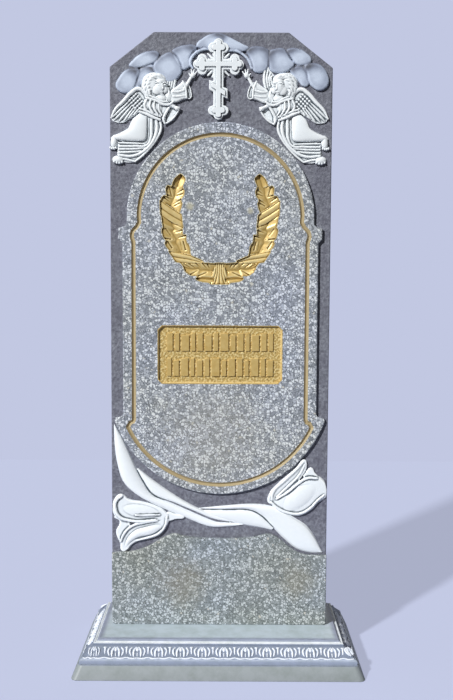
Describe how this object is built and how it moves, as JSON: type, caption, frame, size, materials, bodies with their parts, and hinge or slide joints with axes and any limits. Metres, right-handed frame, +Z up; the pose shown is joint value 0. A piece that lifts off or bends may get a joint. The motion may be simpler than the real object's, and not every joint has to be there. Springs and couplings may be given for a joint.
{
  "type": "memorial stele",
  "caption": "Upright painted terrazzo-concrete grave stele with relief carving, standing on its own moulded base.",
  "frame": {"origin": "middle of the base's underside, on the ground", "axes": "+X to the right across the carved front, +Y from the carved front to the back, +Z up"},
  "size_m": [0.584, 0.308, 1.287],
  "materials": {
    "terrazzo": "ground marble-chip terrazzo, weathered, matt to satin",
    "blue_paint": "pale blue-grey masonry paint on cast concrete, worn white on the edges",
    "dark_paint": "dark grey masonry paint over stippled concrete, matt",
    "white_paint": "white enamel paint on cast relief, satin",
    "cloud_paint": "pale blue paint fading to grey, matt",
    "gold_paint": "bronze-gold paint on cast concrete, dull metallic"
  },
  "bodies": {
    "root": {"stele": "terrazzo", "base": "blue_paint"}
  },
  "joints": []
}
